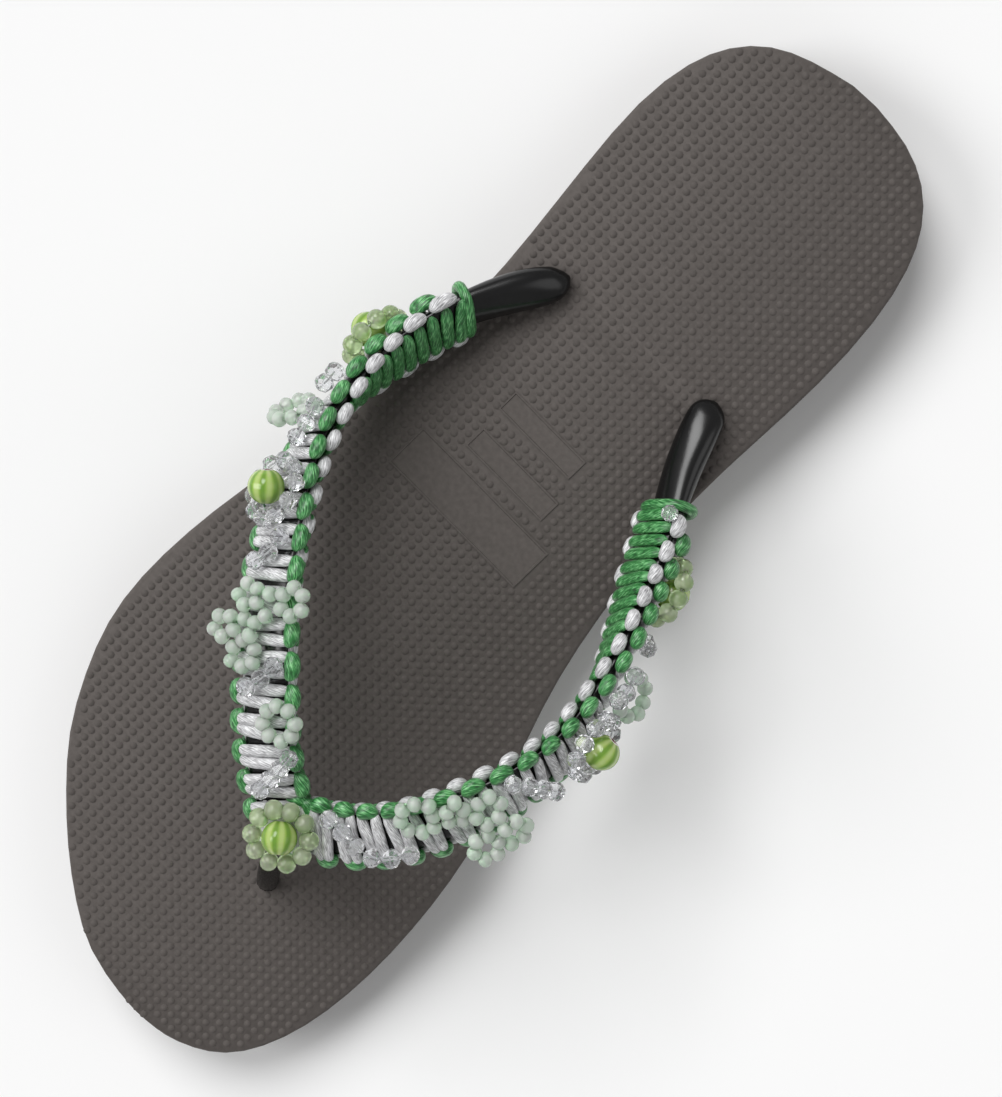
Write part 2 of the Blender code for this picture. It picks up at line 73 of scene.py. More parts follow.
bpy.ops.mesh.primitive_plane_add(size=FLOOR_SIZE, location=(0, 0, -0.2 * MM))
floor = bpy.context.active_object
floor.name = "floor"
floor_paint = bpy.data.materials.new("floor_paint")
floor_paint.use_nodes = True
floor_shader = floor_paint.node_tree.nodes["Principled BSDF"]
floor_shader.inputs["Base Color"].default_value = (0.88, 0.88, 0.88, 1)
floor_shader.inputs["Roughness"].default_value = 0.9
floor_shader.inputs["Specular IOR Level"].default_value = 0.1
floor.data.materials.append(floor_paint)
floor.select_set(False)

surround = bpy.data.worlds.new("surround")
surround.use_nodes = True
surround.node_tree.nodes["Background"].inputs["Color"].default_value = (1, 1, 1, 1)
surround.node_tree.nodes["Background"].inputs["Strength"].default_value = SURROUND
scene.world = surround
for name, shines_from, strength, wide in LAMPS:
    lamp_data = bpy.data.lights.new(name, "SUN")
    lamp_data.energy = strength
    lamp_data.angle = math.radians(wide)
    lamp = bpy.data.objects.new(name, lamp_data)
    lamp.rotation_euler = Vector(shines_from).to_track_quat("Z", "Y").to_euler()
    scene.collection.objects.link(lamp)

# ---------------------------------------------------------------- sole
# The sole is one slab of foam rubber cut out of a sheet: a taupe footbed, a darker cut wall of fine pores and a
# plain tread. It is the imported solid, merged and shaded smooth round its rim. The rubber is drawn in round the
# three stems, so that no gap shows where they enter.
HOLES = ((-16.2, 83.8), (-18.6, -53.4), (24.4, -53.4))  # the stems' holes: toe, inner, outer, in mm
HOLE_RIM = 3.4  # corners nearer than this to a hole's middle are its rim
HOLE_DRAWN_IN = 2.45
BED_ABOVE = 10.0  # faces wholly above this are the footbed and the small round of its rim
TREAD_BELOW = 7.0


def new_finish(name, colour, roughness, specular=0.5):
    """A Principled material with its even values set on the shader itself."""
    made = bpy.data.materials.new(name)
    made.use_nodes = True
    shader = made.node_tree.nodes["Principled BSDF"]
    shader.inputs["Base Color"].default_value = (*colour, 1.0)
    shader.inputs["Roughness"].default_value = roughness
    shader.inputs["Specular IOR Level"].default_value = specular
    return made, made.node_tree, shader


def speckle(tree, scale, detail, coordinates="Object", stretch=(1, 1, 1)):
    """A noise in the piece's own coordinates."""
    where = tree.nodes.new("ShaderNodeTexCoord")
    squeeze = tree.nodes.new("ShaderNodeMapping")
    squeeze.inputs["Scale"].default_value = stretch
    noise = tree.nodes.new("ShaderNodeTexNoise")
    noise.inputs["Scale"].default_value = scale
    noise.inputs["Detail"].default_value = detail
    tree.links.new(where.outputs[coordinates], squeeze.inputs["Vector"])
    tree.links.new(squeeze.outputs["Vector"], noise.inputs["Vector"])
    return noise.outputs["Fac"]


def blend_colours(tree, factor, stops, shader):
    """A ramp from a factor to the shader's colour."""
    ramp = tree.nodes.new("ShaderNodeValToRGB")
    for element, (position, colour) in zip(ramp.color_ramp.elements, (stops[0], stops[-1])):
        element.position, element.color = position, (*colour, 1)
    for position, colour in stops[1:-1]:
        ramp.color_ramp.elements.new(position).color = (*colour, 1)
    tree.links.new(factor, ramp.inputs["Fac"])
    tree.links.new(ramp.outputs["Color"], shader.inputs["Base Color"])


def mottle(tree, shader, scale, detail, *stops):
    """Varies a finish's colour by a noise, and gives the noise back for its relief."""
    noise = speckle(tree, scale, detail)
    blend_colours(tree, noise, stops, shader)
    return noise


def relief(tree, height, shader, strength, distance):
    """A fine bump from a height."""
    bump = tree.nodes.new("ShaderNodeBump")
    bump.inputs["Strength"].default_value = strength
    bump.inputs["Distance"].default_value = distance
    tree.links.new(height, bump.inputs["Height"])
    tree.links.new(bump.outputs["Normal"], shader.inputs["Normal"])


def finish(piece, slot_name, *nodes):
    """Hands a finished piece to the frame."""
    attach(piece, "root")
    if nodes:
        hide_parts(*nodes)
    piece.select_set(False)


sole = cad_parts["sole"].copy()
sole.data = sole.data.copy()
sole.name = "foam_sole"
sole.parent = None
for key in list(sole.keys()):
    del sole[key]
scene.collection.objects.link(sole)
bpy.context.view_layer.objects.active = sole
sole.select_set(True)
bpy.ops.object.mode_set(mode="EDIT")
bpy.ops.mesh.select_all(action="SELECT")
bpy.ops.mesh.remove_doubles(threshold=0.002 * MM)
bpy.ops.object.mode_set(mode="OBJECT")
bpy.ops.object.shade_smooth_by_angle(angle=math.radians(35))
for vertex in sole.data.vertices:
    for hole_x, hole_y in HOLES:
        dx, dy = vertex.co.x - hole_x * MM, vertex.co.y - hole_y * MM
        reach = math.hypot(dx, dy)
        if reach < HOLE_RIM * MM:
            vertex.co.x = hole_x * MM + dx * HOLE_DRAWN_IN * MM / reach
            vertex.co.y = hole_y * MM + dy * HOLE_DRAWN_IN * MM / reach

bed_finish, tree, shader = new_finish("taupe_footbed", (0.098, 0.087, 0.081), 0.75, 0.2)
grit = mottle(tree, shader, 900, 3, (0.3, (0.088, 0.0777, 0.0722)), (0.7, (0.109, 0.0966, 0.0900)))
relief(tree, grit, shader, 0.25, 0.1 * MM)
wall_finish, tree, shader = new_finish("cut_foam_wall", (0.045, 0.031, 0.025), 0.85, 0.2)
WALL_STOPS = ((0.36, (0.008, 0.006, 0.005)), (0.44, (0.036, 0.024, 0.019)), (0.7, (0.058, 0.041, 0.033)))
pores = mottle(tree, shader, 1500, 4, *WALL_STOPS)
relief(tree, pores, shader, 0.5, 0.2 * MM)
tread_finish, tree, shader = new_finish("tread", (0.06, 0.047, 0.04), 0.75, 0.3)
ribs = mottle(tree, shader, 700, 3, (0.3, (0.045, 0.036, 0.031)), (0.7, (0.068, 0.055, 0.048)))
relief(tree, ribs, shader, 0.3, 0.2 * MM)
sole.data.materials.clear()
for paint in (bed_finish, wall_finish, tread_finish):
    sole.data.materials.append(paint)
for face in sole.data.polygons:
    heights = [sole.data.vertices[corner].co.z / MM for corner in face.vertices]
    face.material_index = 0 if min(heights) > BED_ABOVE else 2 if max(heights) < TREAD_BELOW else 1
finish(sole, "sole_foam", "sole")

# ---------------------------------------------------------------- footbed grip
# The grip is a field of low round grains moulded into the footbed's rubber in straight rows. It reaches almost
# to the rim, and is left out round the holes and in the three bare label frames behind the arch. The grains are
# painted a little darker than the footbed, as painted shade.
GRAIN_ROWS = ((-2.165, 0.152), (0.140, 2.115))  # from one grain to the next, in the two directions, mm
ROW_REACH = 70  # grains counted each way from the middle, past the sole's edges
SOLE_REACH = (50, 125)
GRAIN_RADIUS = 0.88
GRAIN_HEIGHT = 0.32
GRAIN_SIDES = 8
GRAIN_RINGS = ((GRAIN_RADIUS, -0.01), (0.66 * GRAIN_RADIUS, 0.74 * GRAIN_HEIGHT))  # radius and height
RIM = 0.5  # the grains' middles keep this far from any edge, so a grain's foot may pass it a little
LABELS = (
    # middle x, middle y, length, width in mm
    (5.7, -6.4, 37.6, 10.4),
    (3.6, -17.9, 22.6, 5.4),
    (4.4, -28.3, 21.0, 5.2),
)
LABEL_TURN = math.radians(-3.6)
LABEL_MARGIN = 0.5


def in_label(x, y):
    """Whether a grain at this place would touch a label frame."""
    for middle_x, middle_y, length, width in LABELS:
        dx = (x - middle_x) * math.cos(LABEL_TURN) + (y - middle_y) * math.sin(LABEL_TURN)
        dy = (y - middle_y) * math.cos(LABEL_TURN) - (x - middle_x) * math.sin(LABEL_TURN)
        if abs(dx) < length / 2 + LABEL_MARGIN and abs(dy) < width / 2 + LABEL_MARGIN:
            return True
    return False


def make_mesh(name, points, faces, paint, corners=None):
    """A mesh object in metres from points in mm, with an optional UV for each face corner."""
    mesh = bpy.data.meshes.new(name)
    mesh.from_pydata((np.asarray(points) * MM).tolist(), [], faces)
    if corners is not None:
        layer = mesh.uv_layers.new(name="cord")
        layer.data.foreach_set("uv", np.asarray(corners, np.float32).ravel())
    mesh.materials.append(paint)
    mesh.shade_smooth()
    made = bpy.data.objects.new(name, mesh)
    scene.collection.objects.link(made)
    return made


bed_solid = BVHTree.FromPolygons(
    [vertex.co / MM for vertex in sole.data.vertices], [tuple(face.vertices) for face in sole.data.polygons]
)


def bed_under(x, y):
    """Height of the footbed's real surface at a place, or None off the footbed or over a hole."""
    place, normal, _, _ = bed_solid.ray_cast(Vector((x, y, 30.0)), Vector((0, 0, -1)))
    return place.z if place is not None and normal.z > 0.9 and place.z > BED_ABOVE else None


grain_points, grain_faces = [], []
for i in range(-ROW_REACH, ROW_REACH + 1):
    for j in range(-ROW_REACH, ROW_REACH + 1):
        x = i * GRAIN_ROWS[0][0] + j * GRAIN_ROWS[1][0]
        y = i * GRAIN_ROWS[0][1] + j * GRAIN_ROWS[1][1]
        if abs(x) > SOLE_REACH[0] or abs(y) > SOLE_REACH[1] or in_label(x, y):
            continue
        if None in [bed_under(x + dx, y + dy) for dx, dy in ((RIM, 0), (-RIM, 0), (0, RIM), (0, -RIM))]:
            continue
        first = len(grain_points)
        level = bed_under(x, y)
        for radius, height in GRAIN_RINGS:
            for side in range(GRAIN_SIDES):
                angle = 2 * math.pi * side / GRAIN_SIDES
                dx, dy = radius * math.cos(angle), radius * math.sin(angle)
                grain_points.append((x + dx, y + dy, level + height))
        grain_points.append((x, y, level + GRAIN_HEIGHT))
        for side in range(GRAIN_SIDES):
            foot, next_foot = first + side, first + (side + 1) % GRAIN_SIDES
            shoulder, next_shoulder = foot + GRAIN_SIDES, next_foot + GRAIN_SIDES
            grain_faces.append((foot, next_foot, next_shoulder, shoulder))
            grain_faces.append((shoulder, next_shoulder, first + 2 * GRAIN_SIDES))
        grain_faces.append(tuple(first + side for side in reversed(range(GRAIN_SIDES))))
# Painted shade: the grains' colour is the footbed's made a little darker, for their shaded sides.
grain_finish, tree, shader = new_finish("grains_painted_shade", (0.091, 0.0807, 0.0751), 0.75, 0.2)
mottle(tree, shader, 900, 3, (0.3, (0.081, 0.0716, 0.0666)), (0.7, (0.101, 0.0895, 0.0833)))
grains = make_mesh("footbed_grains", grain_points, grain_faces, grain_finish)
bpy.context.view_layer.objects.active = grains
grains.select_set(True)
bpy.ops.object.shade_smooth_by_angle(angle=math.radians(60))
finish(grains, "sole_foam")

# ---------------------------------------------------------------- label frames
# Three flat frames are moulded into the same rubber behind the arch, with nothing in them. Each is a thin plate
# with a fine groove round it, laid on the footbed's real surface.
FRAME_RISE = 0.3
FRAME_BORDER = 0.35
GROOVE_WIDE, GROOVE_DEEP = 0.12, 0.22
FRAME_SINK = 0.04
FRAME_CUTS = 7
for number, (middle_x, middle_y, length, width) in enumerate(LABELS):
    bpy.ops.mesh.primitive_plane_add(size=1.0)
    label = bpy.context.active_object
    label.name = f"label_frame_{number + 1}"
    label.scale = (length * MM, width * MM, 1)
    label.rotation_euler = (0, 0, LABEL_TURN)
    label.location = (middle_x * MM, middle_y * MM, 0)
    bpy.ops.object.transform_apply(location=True, rotation=True, scale=True)
    bpy.ops.object.mode_set(mode="EDIT")
    bpy.ops.mesh.select_all(action="SELECT")
    bpy.ops.mesh.subdivide(number_cuts=FRAME_CUTS)
    bpy.ops.mesh.extrude_region_move(TRANSFORM_OT_translate={"value": (0, 0, FRAME_RISE * MM)})
    bpy.ops.mesh.inset(thickness=FRAME_BORDER * MM, depth=0)
    bpy.ops.mesh.inset(thickness=GROOVE_WIDE * MM, depth=-GROOVE_DEEP * MM)
    bpy.ops.mesh.select_all(action="SELECT")
    bpy.ops.mesh.normals_make_consistent(inside=False)
    bpy.ops.object.mode_set(mode="OBJECT")
    for vertex in label.data.vertices:
        vertex.co.z += (bed_under(vertex.co.x / MM, vertex.co.y / MM) - FRAME_SINK) * MM
    label.data.materials.append(bed_finish)
    finish(label, "sole_foam")

# ---------------------------------------------------------------- thong
# The thong is one moulding of glossy black rubber. It is a flat Y band, thicker towards its two rear tips, with
# a round toe post and three stems that go through the sole and end in round plugs under it.
ORIGIN_X = 5.2  # x of the shoe's middle in the tables of the arms and the post
BED_HEIGHTS = (
    # y, height of the footbed above the ground, in mm
    (-126, 16.0),
    (-119, 16.0),
    (-60, 15.8),
    (0, 15.2),
    (50, 14.4),
    (78, 14.2),
    (95, 14.4),
    (110, 14.9),
    (126, 15.8),
)
INNER_ARM = (
    # x, y, height above the footbed, roll in degrees, half width, half thickness
    (-4.0, 64.6, 26.0, 14, 5.0, 1.1),
    (-16.1, 55.2, 31.2, 20, 5.0, 1.1),
    (-25.8, 42.2, 34.8, 28, 5.0, 1.1),
    (-31.7, 28.6, 34.0, 39, 5.0, 1.1),
    (-35.1, 15.0, 29.0, 56, 5.0, 1.1),
    (-33.8, 2.0, 23.3, 79, 5.0, 1.2),
    (-30.1, -10.0, 17.4, 102, 4.9, 1.4),
    (-25.5, -21.5, 11.8, 115, 4.7, 1.8),
    (-20.9, -33.5, 8.0, 126, 4.5, 2.4),
    (-17.0, -42.5, 5.4, 140, 4.3, 3.1),
    (-14.4, -50.0, 3.9, 160, 4.3, 2.9),
    (-13.0, -55.2, 2.5, 172, 4.0, 2.0),
    (-12.6, -57.9, 1.5, 178, 3.6, 1.3),
)
OUTER_ARM = (
    (-4.0, 64.6, 26.0, 14, 5.0, 1.1),
    (7.6, 55.4, 30.5, 20, 5.0, 1.1),
    (18.9, 43.0, 32.5, 23, 5.0, 1.1),
    (29.5, 30.0, 30.3, 32, 5.0, 1.1),
    (37.8, 16.7, 25.0, 45, 5.0, 1.1),
    (43.9, 3.0, 18.2, 67, 5.0, 1.2),
    (45.3, -10.0, 12.6, 96, 4.9, 1.4),
    (43.5, -23.6, 8.8, 118, 4.7, 1.8),
    (39.8, -36.4, 7.3, 130, 4.5, 2.4),
    (36.0, -43.8, 5.4, 142, 4.5, 3.1),
    (31.7, -50.2, 3.9, 160, 4.4, 2.9),
    (28.7, -54.4, 2.5, 172, 3.5, 2.0),
    (27.6, -56.9, 1.5, 178, 2.4, 1.2),
)
ARM_START = -2.8  # the two arms run on past the V, so that they merge there
ARM_STEP = 1.6
ARM_SIDES = 24
TIP_ROUND = 4.0  # length of the rounded tip
TIP_STEPS = 11
POST = (
    # x, y, height above the footbed, half width, half length
    (-5.4, 66.9, 25.6, 2.3, 2.7),
    (-6.5, 71.8, 20.0, 2.3, 2.8),
    (-8.0, 76.3, 14.0, 2.3, 2.7),
    (-9.6, 80.3, 7.4, 2.4, 2.6),
    (-10.9, 83.5, 0.8, 2.4, 2.4),
    (-11.0, 83.8, -4.0, 2.4, 2.4),
    (-11.0, 83.8, -11.4, 2.4, 2.4),
)
POST_STEPS, POST_SIDES = 31, 20
PLUG_PROFILE = (
    # radius, height above the ground
    (7.2, 0.5),
    (7.8, 0.7),
    (8.0, 1.2),
    (8.0, 3.2),
    (7.6, 3.5),
    (2.4, 3.5),
    (2.4, 18.2),
)
PLUG_SIDES = 32
STRAND_TWIST = 0.035  # turns that a cord's strands make in a millimetre


def bed(y):
    """Height of the footbed above the ground along the shoe, all in mm."""
    return float(np.interp(y, [row[0] for row in BED_HEIGHTS], [row[1] for row in BED_HEIGHTS]))


def spline(knots, values):
    """A natural cubic spline through values at knots."""
    knots, values = np.asarray(knots, float), np.asarray(values, float)
    step = np.diff(knots)
    system, right = np.eye(len(knots)), np.zeros(values.shape)
    for i in range(1, len(knots) - 1):
        system[i, i - 1 : i + 2] = (step[i - 1], 2 * (step[i - 1] + step[i]), step[i])
        right[i] = 6 * ((values[i + 1] - values[i]) / step[i] - (values[i] - values[i - 1]) / step[i - 1])
    bend = np.linalg.solve(system, right)

    def at(where):
        i = int(np.clip(np.searchsorted(knots, where) - 1, 0, len(knots) - 2))
        after = (where - knots[i]) / step[i]
        before = 1 - after
        curve = (before**3 - before) * bend[i] + (after**3 - after) * bend[i + 1]
        return before * values[i] + after * values[i + 1] + curve * step[i] ** 2 / 6

    return at


class Arm:
    """One arm of the thong by length along it, with the band's own directions, in mm."""

    def __init__(self, rows, side):
        rows = np.asarray(rows, float)
        points = rows[:, :3].copy()
        points[:, 2] += [bed(y) for y in points[:, 1]]
        knots = np.concatenate([[0], np.cumsum(np.linalg.norm(np.diff(points, axis=0), axis=1))])
        points[:, 0] -= ORIGIN_X
        self.line, self.form = spline(knots, points), spline(knots, rows[:, 3:])
        self.length, self.side = knots[-1], side

    def section(self, s):
        """Middle, along, across (to the outside) and out of the face, at length s."""
        inside = min(max(s, 0.0), self.length)
        middle = self.line(inside)
        along = self.line(min(inside + 0.5, self.length)) - self.line(max(inside - 0.5, 0.0))
        along = along / np.linalg.norm(along)
        middle = middle + (s - inside) * along
        level = self.side * np.cross((0, 0, 1), along)
        level /= np.linalg.norm(level)
        up = np.cross(along, level)
        up *= np.sign(up[2])
        roll = math.radians(self.form(inside)[0])
        across = math.cos(roll) * level - math.sin(roll) * up
        return middle, along, across, math.cos(roll) * up + math.sin(roll) * level

    def at(self, s, w, n):
        """The place w across the band and n out of it, at length s."""
        middle, _, across, out = self.section(s)
        return middle + w * across + n * out


def rounded(angle, half_width, half_thick, width_power, thick_power):
    """A place on a flattened round section, as its distance across and out."""
    across, out = math.cos(angle), math.sin(angle)
    w = math.copysign(abs(across) ** width_power, across) * half_width
    return w, math.copysign(abs(out) ** thick_power, out) * half_thick


def skin(rings, points, faces, corners, shift=0.0, endless=False):
    """Adds a tube through equal rings to the lists, capped or endless, with a UV along and round it."""
    rings = np.asarray(rings, float)
    first, (count, sides, _) = len(points), rings.shape
    points.extend(rings.reshape(-1, 3))
    middles = rings.mean(axis=1)
    if endless:
        middles = np.vstack((middles, middles[:1]))
    along = np.concatenate([[0], np.cumsum(np.linalg.norm(np.diff(middles, axis=0), axis=1))]) + shift
    twist = STRAND_TWIST * (along - shift)
    for i in range(len(middles) - 1):
        for j in range(sides):
            k = (j + 1) % sides
            low, high = first + i * sides, first + (i + 1) % count * sides
            faces.append((low + j, low + k, high + k, high + j))
            around, after = j / sides, (j + 1) / sides
            corners += [(along[i], around + twist[i]), (along[i], after + twist[i])]
            corners += [(along[i + 1], after + twist[i + 1]), (along[i + 1], around + twist[i + 1])]
    if endless:
        return
    for row, order in ((0, reversed(range(sides))), (count - 1, range(sides))):
        order = list(order)
        faces.append(tuple(first + row * sides + j for j in order))
        corners += [(along[row], j / sides) for j in order]


def turned_out(piece):
    """Points every face of the piece outwards."""
    bpy.context.view_layer.objects.active = piece
    piece.select_set(True)
    bpy.ops.object.mode_set(mode="EDIT")
    bpy.ops.mesh.select_all(action="SELECT")
    bpy.ops.mesh.normals_make_consistent(inside=False)
    bpy.ops.object.mode_set(mode="OBJECT")
    piece.select_set(False)


ARMS = {"inner": Arm(INNER_ARM, -1), "outer": Arm(OUTER_ARM, 1)}
points, faces, corners = [], [], []
for arm in ARMS.values():
    rings = []
    tip = arm.length - TIP_ROUND
    tip_places = tip + TIP_ROUND * np.sin(np.linspace(0, 0.5 * math.pi, TIP_STEPS))
    for s in np.append(np.arange(ARM_START, tip - 0.8, ARM_STEP), tip_places):
        _, half_width, half_thick = arm.form(max(s, 0.0))
        # The tip closes in a blunt round, thinner a little later than it is narrower.
        rounding = max(0.05, 1 - max(0.0, (s - tip) / TIP_ROUND) ** 2.4) ** 0.5
        half_width, half_thick = half_width * rounding, half_thick * rounding**0.7
        # The edges are fuller towards the tips, where the band is thick.
        fuller = float(np.interp(s, (90.0, 105.0), (0.0, 0.2)))
        ring = []
        for side in range(ARM_SIDES):
            w, n = rounded(2 * math.pi * side / ARM_SIDES, half_width, half_thick, 0.7 + fuller, 0.8 + fuller)
            ring.append(arm.at(s, w, n))
        rings.append(ring)
    skin(rings, points, faces, corners)
post_line = spline(range(len(POST)), POST)
rings = []
for place in np.linspace(0, len(POST) - 1, POST_STEPS):
    x, y, height, half_across, half_along = post_line(place)
    ring = []
    for side in range(POST_SIDES):
        angle = 2 * math.pi * side / POST_SIDES
        across, forward = half_across * math.cos(angle), half_along * math.sin(angle)
        ring.append((x - ORIGIN_X + across, y + forward, height + bed(y)))
    rings.append(ring)
skin(rings, points, faces, corners)
for number, (x, y) in enumerate(HOLES):
    # The toe's plug ends at its neck, because the post is its stem.
    profile = PLUG_PROFILE if number else PLUG_PROFILE[:6]
    turns = [2 * math.pi * side / PLUG_SIDES for side in range(PLUG_SIDES)]
    rings = []
    for radius, height in profile:
        rings.append([(x + radius * math.cos(a), y + radius * math.sin(a), height) for a in turns])
    skin(rings, points, faces, corners)
rubber_finish, tree, shader = new_finish("black_rubber", (0.0038, 0.0038, 0.004), 0.24, 0.5)
bloom = mottle(tree, shader, 320, 4, (0.35, (0.003, 0.003, 0.0032)), (0.7, (0.0048, 0.0048, 0.005)))
relief(tree, bloom, shader, 0.06, 0.2 * MM)
thong = make_mesh("thong", points, faces, rubber_finish, corners)
turned_out(thong)
finish(thong, "strap_rubber", "strap")

# ---------------------------------------------------------------- knotted cover
# Satin cord is knotted round each arm in square knots. Silver cord crosses the face in pairs of bars, with a
# green loop on either edge. Green cord crosses the back, with silver loops on the edges half a knot later. One
# green turn closes the cover at its rear end.
KNOTS = {
    # first knot's middle, knot length, where the cover ends, in mm along the arm
    "inner": (3.55, 5.75, 119.2),
    "outer": (3.80, 6.37, 125.6),
}
MOST_KNOTS = 24
CORD_SIDES = 10
BARE_THICK = 1.1  # half thickness of the band where it is thinnest
FACE_RISE = 1.95  # middle of the bars above the band's middle
BAR_THICK = 1.0
BAR_STATIONS = (-1.0, -0.97, -0.88, -0.7, -0.45, -0.15, 0.15, 0.45, 0.7, 0.88, 0.97, 1.0)
BAR_SINK = 0.75  # how far a bar's ends dive under the loops
FRONT_REACH, BACK_REACH = 6.3, 6.7  # half a bar's length across the band
FRONT_PAIR, BACK_PAIR = 0.42, 0.5  # from one bar of a pair to the other, in knots
FRONT_BAR, BACK_BAR = 0.212, 0.232  # half a bar's width, in knots
FRONT_SLANT = (0.34, -0.3)  # how far the two bars of a pair lean along the arm at their ends
BACK_SLANT = {
    # the green bars' lean at lengths along the arm: they turn towards the rear tips
    "inner": ((75.0, 112.0), (0.25, -0.9)),
    "outer": ((75.0, 112.0), (0.25, -1.6)),
}
LOOP_STATIONS = (-1.0, -0.9, -0.7, -0.42, -0.14, 0.14, 0.42, 0.7, 0.9, 1.0)
LOOP_LEAN = 0.35
EDGE_AT, EDGE_RISE = 6.85, 1.35  # the green loops' place across the band and out of it
FRONT_LOOP = {"inner": 0.425, "outer": 0.45}  # half a green loop's length, in knots
BACK_LOOP = 0.415
FRONT_LOOP_SIZE, BACK_LOOP_SIZE = (1.78, 1.5), (1.5, 1.35)  # half width and half thickness
TUCKED = {
    # the silver loops' place across the band, at lengths along the arm
    "inner": ((20.0, 40.0, 100.0), (5.3, 6.3, 6.9)),
    "outer": ((20.0, 55.0, 80.0, 100.0), (4.6, 5.0, 6.4, 6.9)),
}
PULLED_OVER = {"inner": 0.6, "outer": 1.1}  # how far the silver loops shift to the inside by the rear
LAST_TURN = {"inner": 0.1, "outer": -0.4}  # the closing turn's place past the cover's end
LAST_TURN_SIZE = (0.95, 1.05)  # its clearance across the band and out of it
LAST_TURN_TILT = 0.9
LAST_TURN_RADIUS = 1.15
LAST_TURN_STEPS = 32
wobble = np.random.default_rng(11)


def thickness(arm, s):
    """How much the rubber has grown beneath the cover at s."""
    return max(0.0, arm.form(max(s, 0.0))[2] - BARE_THICK)


def narrowing(s):
    """The cover's width at s as a share of its full width."""
    return float(np.interp(s, (95.0, 125.0), (1.0, 0.87)))


def cord_ring(centre, half_wide, half_thick, wide_way, thick_way):
    """One section of a cord."""
    turns = [2 * math.pi * side / CORD_SIDES for side in range(CORD_SIDES)]
    return [centre + half_wide * math.cos(a) * wide_way + half_thick * math.sin(a) * thick_way for a in turns]


def bar(arm, s, face, half_wide, reach, slant, lists):
    """One cord across the face (1) or the back (-1), rounded off where it dives under the edge loops."""
    rings = []
    for t in BAR_STATIONS:
        full = (1 - 0.96 * abs(t) ** 7) ** 0.5
        level = face * (FACE_RISE + thickness(arm, s) - BAR_SINK * abs(t) ** 5)
        middle, along, across, out = arm.section(s + slant * t)
        centre = middle + reach * narrowing(s) * t * across + level * out
        rings.append(cord_ring(centre, half_wide * full, BAR_THICK * full, along, out))
    skin(rings, *lists, shift=float(wobble.uniform(0, 400)))


def green_loop(arm, s, side_sign, half_long, lists):
    """A loop of cord on an edge of the face, lower on the outside towards the toe and slimmer at the rear."""
    half_wide = FRONT_LOOP_SIZE[0] * float(np.interp(s, (60.0, 110.0), (1.0, 0.88)))
    half_wide *= float(np.interp(s, (75.0, 100.0), (1.0, 0.68)))
    low = float(np.interp(s, (60.0, 95.0), (1.0, 0.0))) if side_sign > 0 else 0.0
    place = EDGE_AT * narrowing(s) + 0.15 * thickness(arm, s)
    size = (half_wide, FRONT_LOOP_SIZE[1])
    edge_loop(arm, s, side_sign, 1, half_long, size, place, 0.35 * low, 0.85 * low, lists)


def silver_loop(arm_name, s, side_sign, half_long, lists):
    """A loop of cord on an edge of the back, tucked in near the toe and pulled over at the rear."""
    half_wide = BACK_LOOP_SIZE[0] * float(np.interp(s, (60.0, 110.0), (1.0, 0.88)))
    slide = float(np.interp(s, (75.0, 100.0), (0.0, PULLED_OVER[arm_name])))
    place = float(np.interp(s, *TUCKED[arm_name]))
    size = (half_wide, BACK_LOOP_SIZE[1])
    edge_loop(ARMS[arm_name], s, side_sign, -1, half_long, size, place, slide, 0.0, lists)


def edge_loop(arm, s, side_sign, face, half_long, size, place, shift_in, drop, lists):
    """One loop of cord along an edge, pointed towards both ends and leaning a little inwards."""
    grown = thickness(arm, s)
    rings = []
    for t in LOOP_STATIONS:
        full = max(0.16, (1 - abs(t) ** 3.4) ** 0.55)
        middle, along, across, out = arm.section(s + half_long * t)
        w = side_sign * (place - 0.55 * abs(t) ** 2) - shift_in
        n = face * (EDGE_RISE - drop + 0.45 * grown + LOOP_LEAN * face * t * side_sign)
        centre = middle + w * across + n * out
        rings.append(cord_ring(centre, size[0] * full, (size[1] + 0.3 * grown) * full, across, out))
    skin(rings, *lists, shift=float(wobble.uniform(0, 400)))


def last_turn(arm, s, lists):
    """The cord that goes once round the arm and closes the cover."""
    middle, along, across, out = arm.section(s)
    _, half_width, half_thick = arm.form(s)
    loop = []
    for angle in np.arange(LAST_TURN_STEPS) * 2 * math.pi / LAST_TURN_STEPS:
        w, n = rounded(angle, half_width + LAST_TURN_SIZE[0], half_thick + LAST_TURN_SIZE[1], 0.75, 0.75)
        loop.append(middle + w * across + n * out - LAST_TURN_TILT * math.cos(angle) * along)
    rings = []
    for i, place in enumerate(loop):
        tangent = loop[(i + 1) % len(loop)] - loop[i - 1]
        tangent /= np.linalg.norm(tangent)
        side = np.cross(tangent, place - sum(loop) / len(loop))
        side /= np.linalg.norm(side)
        rings.append(cord_ring(place, LAST_TURN_RADIUS, LAST_TURN_RADIUS, side, np.cross(side, tangent)))
    skin(rings, *lists, endless=True)


def satin(name, dark, middle, bright, gloss):
    """Satin cord: fine threads along it, lighter on them as painted sheen and darker between them as painted
    shade.
    """
    made, tree, shader = new_finish(name, middle, 0.32, 0.65)
    threads = speckle(tree, 1.0, 2, "UV", (0.6, 34.0, 1))
    patches = speckle(tree, 1.0, 1, "UV", (0.4, 2.0, 1))
    both = tree.nodes.new("ShaderNodeMath")
    both.operation = "MULTIPLY_ADD"
    both.inputs[1].default_value = 0.78
    tree.links.new(threads, both.inputs[0])
    softened = tree.nodes.new("ShaderNodeMath")
    softened.operation = "MULTIPLY"
    softened.inputs[1].default_value = 0.22
    tree.links.new(patches, softened.inputs[0])
    tree.links.new(softened.outputs[0], both.inputs[2])
    blend_colours(tree, both.outputs[0], ((0.34, dark), (0.5, middle), (0.66, bright)), shader)
    relief(tree, threads, shader, 0.55, 0.25 * MM)
    shader.inputs["Sheen Weight"].default_value = gloss
    return made
